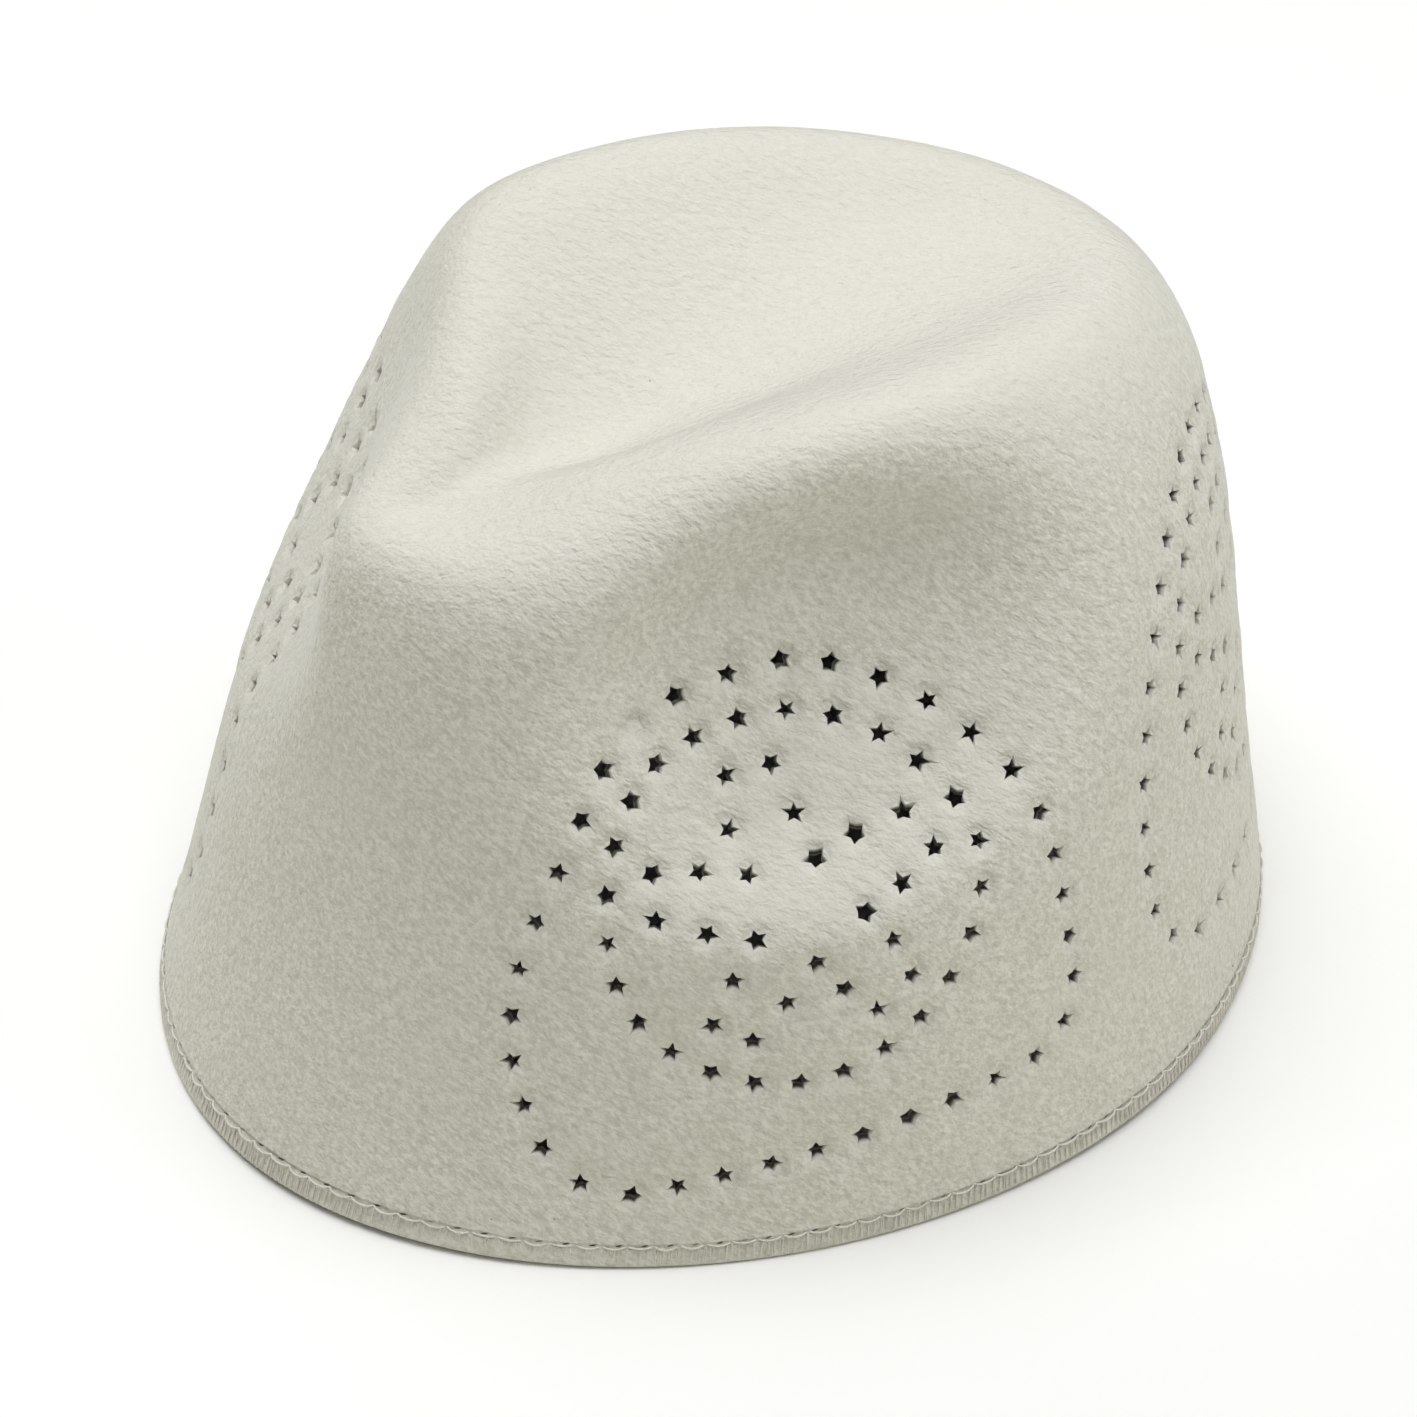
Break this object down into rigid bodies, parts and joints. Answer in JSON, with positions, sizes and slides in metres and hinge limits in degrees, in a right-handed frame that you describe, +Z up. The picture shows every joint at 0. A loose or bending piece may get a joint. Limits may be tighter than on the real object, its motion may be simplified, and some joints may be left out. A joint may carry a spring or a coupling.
{
  "type": "felt kufi cap",
  "caption": "Brimless moulded felt kufi cap with a pinched front, a teardrop hollow in its crown and round pierced star patterns in its wall.",
  "frame": {"origin": "middle of the cap's bottom edge, on the surface it rests on", "axes": "+Z up, -Y towards the front of the cap, +X towards the wearer's left"},
  "size_m": [0.173, 0.2, 0.1265],
  "materials": {
    "felt": "off-white wool felt with a soft matt nap"
  },
  "bodies": {
    "root": {"felt_crown": "felt"}
  },
  "joints": []
}
